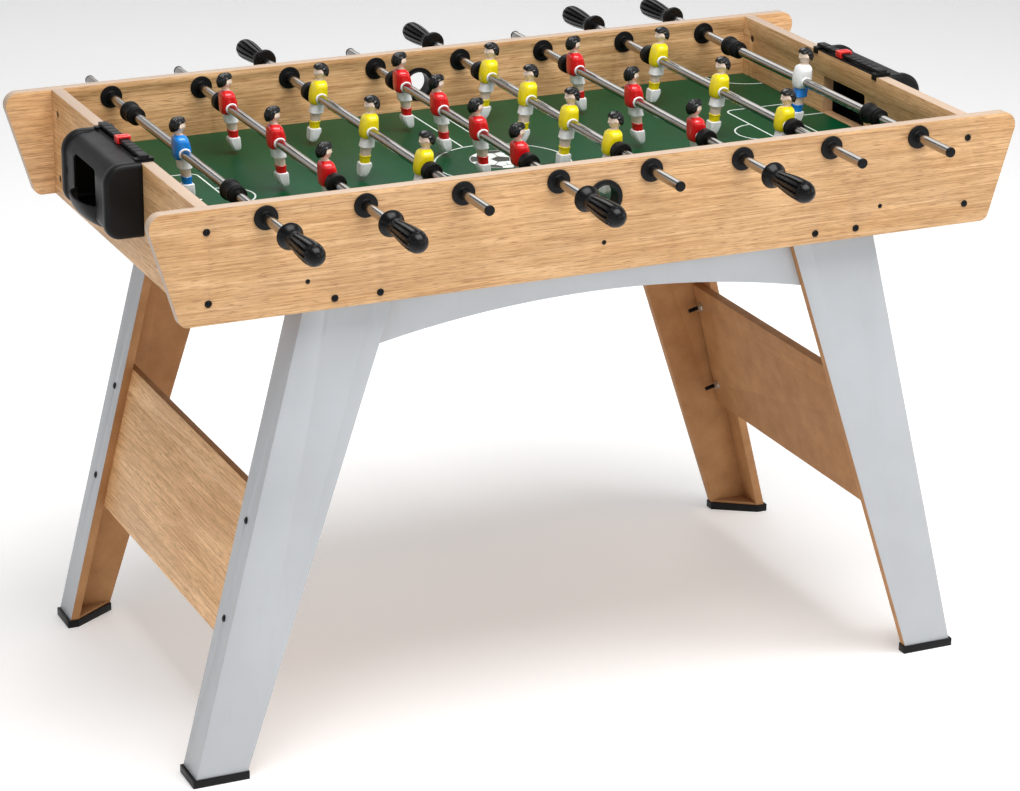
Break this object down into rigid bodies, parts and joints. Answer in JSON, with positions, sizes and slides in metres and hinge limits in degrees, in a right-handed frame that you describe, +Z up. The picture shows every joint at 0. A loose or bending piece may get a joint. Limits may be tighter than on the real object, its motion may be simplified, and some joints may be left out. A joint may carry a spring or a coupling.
{
  "type": "foosball table",
  "caption": "Foosball table on splayed legs, with player rods that slide and spin, goal boxes with ball returns, ball entries and sliding score markers.",
  "frame": {"origin": "on the floor under the middle of the table", "axes": "+X along the table, towards the goal on the right of the player at the front, +Y across it from that player to the back, +Z up"},
  "size_m": [1.1978, 0.97, 0.7965],
  "materials": {
    "oak_laminate": "satin oak-pattern laminate with a straight grain",
    "raw_board": "bare pressed board",
    "grey_laminate": "satin pale grey laminate",
    "green_field": "printed satin green with white lines",
    "black_plastic": "fine moulded grain",
    "handle_black": "smooth moulded plastic",
    "black_rubber": "matte rubber",
    "rod_steel": "polished steel tube",
    "zinc_hardware": "zinc plated",
    "black_bolt": "black finish, slightly glossy",
    "red_marker": "moulded plastic",
    "team_red": "painted plastic",
    "team_yellow": "painted plastic",
    "keeper_blue": "painted plastic",
    "keeper_white": "painted plastic",
    "edge_band": "pale pink-beige edge band",
    "figure_white": "painted plastic",
    "figure_skin": "painted plastic",
    "figure_hair": "glossy painted plastic",
    "line_white": "printed satin white"
  },
  "bodies": {
    "table": {"front_side_panel": "oak_laminate", "rear_side_panel": "oak_laminate", "left_end_panel": "oak_laminate", "right_end_panel": "oak_laminate", "playfield": "green_field", "field_rails": "raw_board", "rod_bushings": "black_plastic", "ball_entry_cups": "black_plastic", "left_goal_box": "black_plastic", "right_goal_box": "black_plastic", "score_bars": "black_plastic", "front_left_leg": "grey_laminate", "front_right_leg": "grey_laminate", "rear_left_leg": "grey_laminate", "rear_right_leg": "grey_laminate", "foot_caps": "black_plastic", "front_apron": "grey_laminate", "rear_apron": "grey_laminate", "left_stretcher": "oak_laminate", "right_stretcher": "oak_laminate", "cabinet_bolts": "black_bolt", "barrel_nuts": "black_bolt", "leg_bolts": "black_bolt", "stretcher_bolts": "black_bolt", "nuts_and_washers": "zinc_hardware", "wood_screws": "black_bolt"},
    "left_marker": {"left_score_marker": "red_marker"},
    "right_marker": {"right_score_marker": "red_marker"},
    "rod_1_stops": {"rod_1_bumpers": "black_rubber"},
    "rod_1": {"rod_1_tube": "rod_steel", "rod_1_players": "keeper_blue", "rod_1_handle": "handle_black"},
    "rod_2_stops": {"rod_2_bumpers": "black_rubber"},
    "rod_2": {"rod_2_tube": "rod_steel", "rod_2_players": "team_red", "rod_2_handle": "handle_black"},
    "rod_3_stops": {"rod_3_bumpers": "black_rubber"},
    "rod_3": {"rod_3_tube": "rod_steel", "rod_3_players": "team_yellow", "rod_3_handle": "handle_black"},
    "rod_4_stops": {"rod_4_bumpers": "black_rubber"},
    "rod_4": {"rod_4_tube": "rod_steel", "rod_4_players": "team_red", "rod_4_handle": "handle_black"},
    "rod_5_stops": {"rod_5_bumpers": "black_rubber"},
    "rod_5": {"rod_5_tube": "rod_steel", "rod_5_players": "team_yellow", "rod_5_handle": "handle_black"},
    "rod_6_stops": {"rod_6_bumpers": "black_rubber"},
    "rod_6": {"rod_6_tube": "rod_steel", "rod_6_players": "team_red", "rod_6_handle": "handle_black"},
    "rod_7_stops": {"rod_7_bumpers": "black_rubber"},
    "rod_7": {"rod_7_tube": "rod_steel", "rod_7_players": "team_yellow", "rod_7_handle": "handle_black"},
    "rod_8_stops": {"rod_8_bumpers": "black_rubber"},
    "rod_8": {"rod_8_tube": "rod_steel", "rod_8_players": "keeper_white", "rod_8_handle": "handle_black"}
  },
  "joints": [
    {"name": "left_marker_slide", "type": "slide", "parent": "table", "child": "left_marker", "axis": [0, 1, 0], "range_m": [-0.07, 0.064]},
    {"name": "right_marker_slide", "type": "slide", "parent": "table", "child": "right_marker", "axis": [0, 1, 0], "range_m": [-0.089, 0.045]},
    {"name": "rod_1_slide", "type": "slide", "parent": "table", "child": "rod_1_stops", "axis": [0, 1, 0], "range_m": [-0.072, 0.072]},
    {"name": "rod_1_spin", "type": "hinge", "parent": "rod_1_stops", "child": "rod_1", "pos_m": [-0.4515, 0, 0.7495], "axis": [0, 1, 0], "continuous": true},
    {"name": "rod_2_slide", "type": "slide", "parent": "table", "child": "rod_2_stops", "axis": [0, 1, 0], "range_m": [-0.072, 0.072]},
    {"name": "rod_2_spin", "type": "hinge", "parent": "rod_2_stops", "child": "rod_2", "pos_m": [-0.3225, 0, 0.7495], "axis": [0, 1, 0], "continuous": true},
    {"name": "rod_3_slide", "type": "slide", "parent": "table", "child": "rod_3_stops", "axis": [0, 1, 0], "range_m": [-0.072, 0.072]},
    {"name": "rod_3_spin", "type": "hinge", "parent": "rod_3_stops", "child": "rod_3", "pos_m": [-0.1935, 0, 0.7495], "axis": [0, 1, 0], "continuous": true},
    {"name": "rod_4_slide", "type": "slide", "parent": "table", "child": "rod_4_stops", "axis": [0, 1, 0], "range_m": [-0.06, 0.06]},
    {"name": "rod_4_spin", "type": "hinge", "parent": "rod_4_stops", "child": "rod_4", "pos_m": [-0.0645, 0, 0.7495], "axis": [0, 1, 0], "continuous": true},
    {"name": "rod_5_slide", "type": "slide", "parent": "table", "child": "rod_5_stops", "axis": [0, 1, 0], "range_m": [-0.06, 0.06]},
    {"name": "rod_5_spin", "type": "hinge", "parent": "rod_5_stops", "child": "rod_5", "pos_m": [0.0645, 0, 0.7495], "axis": [0, 1, 0], "continuous": true},
    {"name": "rod_6_slide", "type": "slide", "parent": "table", "child": "rod_6_stops", "axis": [0, 1, 0], "range_m": [-0.072, 0.072]},
    {"name": "rod_6_spin", "type": "hinge", "parent": "rod_6_stops", "child": "rod_6", "pos_m": [0.1935, 0, 0.7495], "axis": [0, 1, 0], "continuous": true},
    {"name": "rod_7_slide", "type": "slide", "parent": "table", "child": "rod_7_stops", "axis": [0, 1, 0], "range_m": [-0.072, 0.072]},
    {"name": "rod_7_spin", "type": "hinge", "parent": "rod_7_stops", "child": "rod_7", "pos_m": [0.3225, 0, 0.7495], "axis": [0, 1, 0], "continuous": true},
    {"name": "rod_8_slide", "type": "slide", "parent": "table", "child": "rod_8_stops", "axis": [0, 1, 0], "range_m": [-0.072, 0.072]},
    {"name": "rod_8_spin", "type": "hinge", "parent": "rod_8_stops", "child": "rod_8", "pos_m": [0.4515, 0, 0.7495], "axis": [0, 1, 0], "continuous": true}
  ]
}
